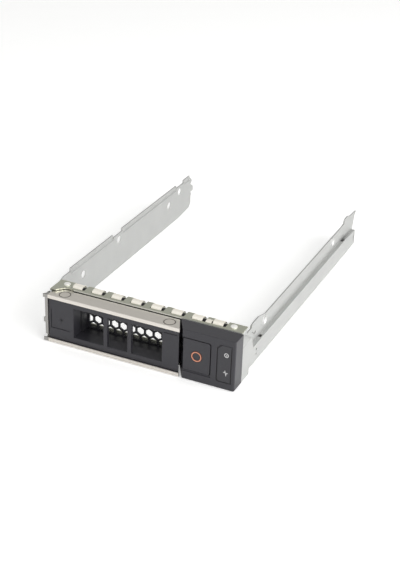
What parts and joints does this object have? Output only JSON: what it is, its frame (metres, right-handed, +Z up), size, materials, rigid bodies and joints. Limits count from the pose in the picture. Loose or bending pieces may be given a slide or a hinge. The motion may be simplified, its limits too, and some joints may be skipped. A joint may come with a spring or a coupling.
{
  "type": "hot swap drive caddy",
  "caption": "Front-loading carrier for a 3.5-inch disk drive: folded steel arms, vented dark front, swing-out lever, release button and spring fingers.",
  "frame": {"origin": "mid width and mid length of the caddy, at the level of the bezel's underside", "axes": "+X to the right seen from the front, +Y from the front face to the rear, +Z up"},
  "size_m": [0.106, 0.183, 0.0282],
  "materials": {
    "rail_steel": "zinc-plated, satin",
    "frame_steel": "zinc-plated, dull",
    "lever_steel": "nickel-plated, fine brushed",
    "spring_steel": "bright stainless",
    "pin_steel": "turned, bright",
    "dark_moulding": "fine-grained, dark grey",
    "ring_accent": "terracotta, smooth",
    "window_pane": "smoked, polished",
    "clear_rod": "clear acrylic",
    "pawl_plastic": "natural acetal"
  },
  "bodies": {
    "tray": {"front_frame": "frame_steel", "left_rail": "rail_steel", "right_rail": "rail_steel", "light_pipe_cover": "rail_steel", "upper_gasket": "spring_steel", "lower_gasket": "spring_steel", "rail_rivets": "pin_steel", "dome_rivets": "pin_steel", "front_bezel": "dark_moulding", "vent_grille": "dark_moulding", "drive_light_pipe": "clear_rod", "fault_light_pipe": "clear_rod", "status_window": "window_pane", "latch_pin": "pin_steel", "button_spring": "spring_steel", "kick_spring": "spring_steel"},
    "lever": {"lever_channel": "lever_steel", "lever_grip": "dark_moulding", "pivot_pin": "lever_steel", "lever_rivet": "lever_steel", "lever_hook": "pin_steel"},
    "button": {"release_button": "dark_moulding", "button_ring": "ring_accent"},
    "latch": {"latch": "pawl_plastic"}
  },
  "joints": [
    {"name": "lever_swing", "type": "hinge", "parent": "tray", "child": "lever", "pos_m": [-0.0408, -0.0875, 0.01335], "axis": [0, 0, -1], "range_deg": [0, 50]},
    {"name": "button_press", "type": "slide", "parent": "tray", "child": "button", "axis": [0, 1, 0], "range_m": [0, 0.002], "stiffness_N_per_m": 450, "springref_m": -0.002, "deforming": ["button_spring"]},
    {"name": "latch_turn", "type": "hinge", "parent": "tray", "child": "latch", "pos_m": [0.0285, -0.0795, 0.0135], "axis": [0, 0, 1], "range_deg": [0, 15]}
  ],
  "couplings": [
    {"joint": "latch_turn", "follows": "button_press", "rad_per_m": 130.8}
  ]
}
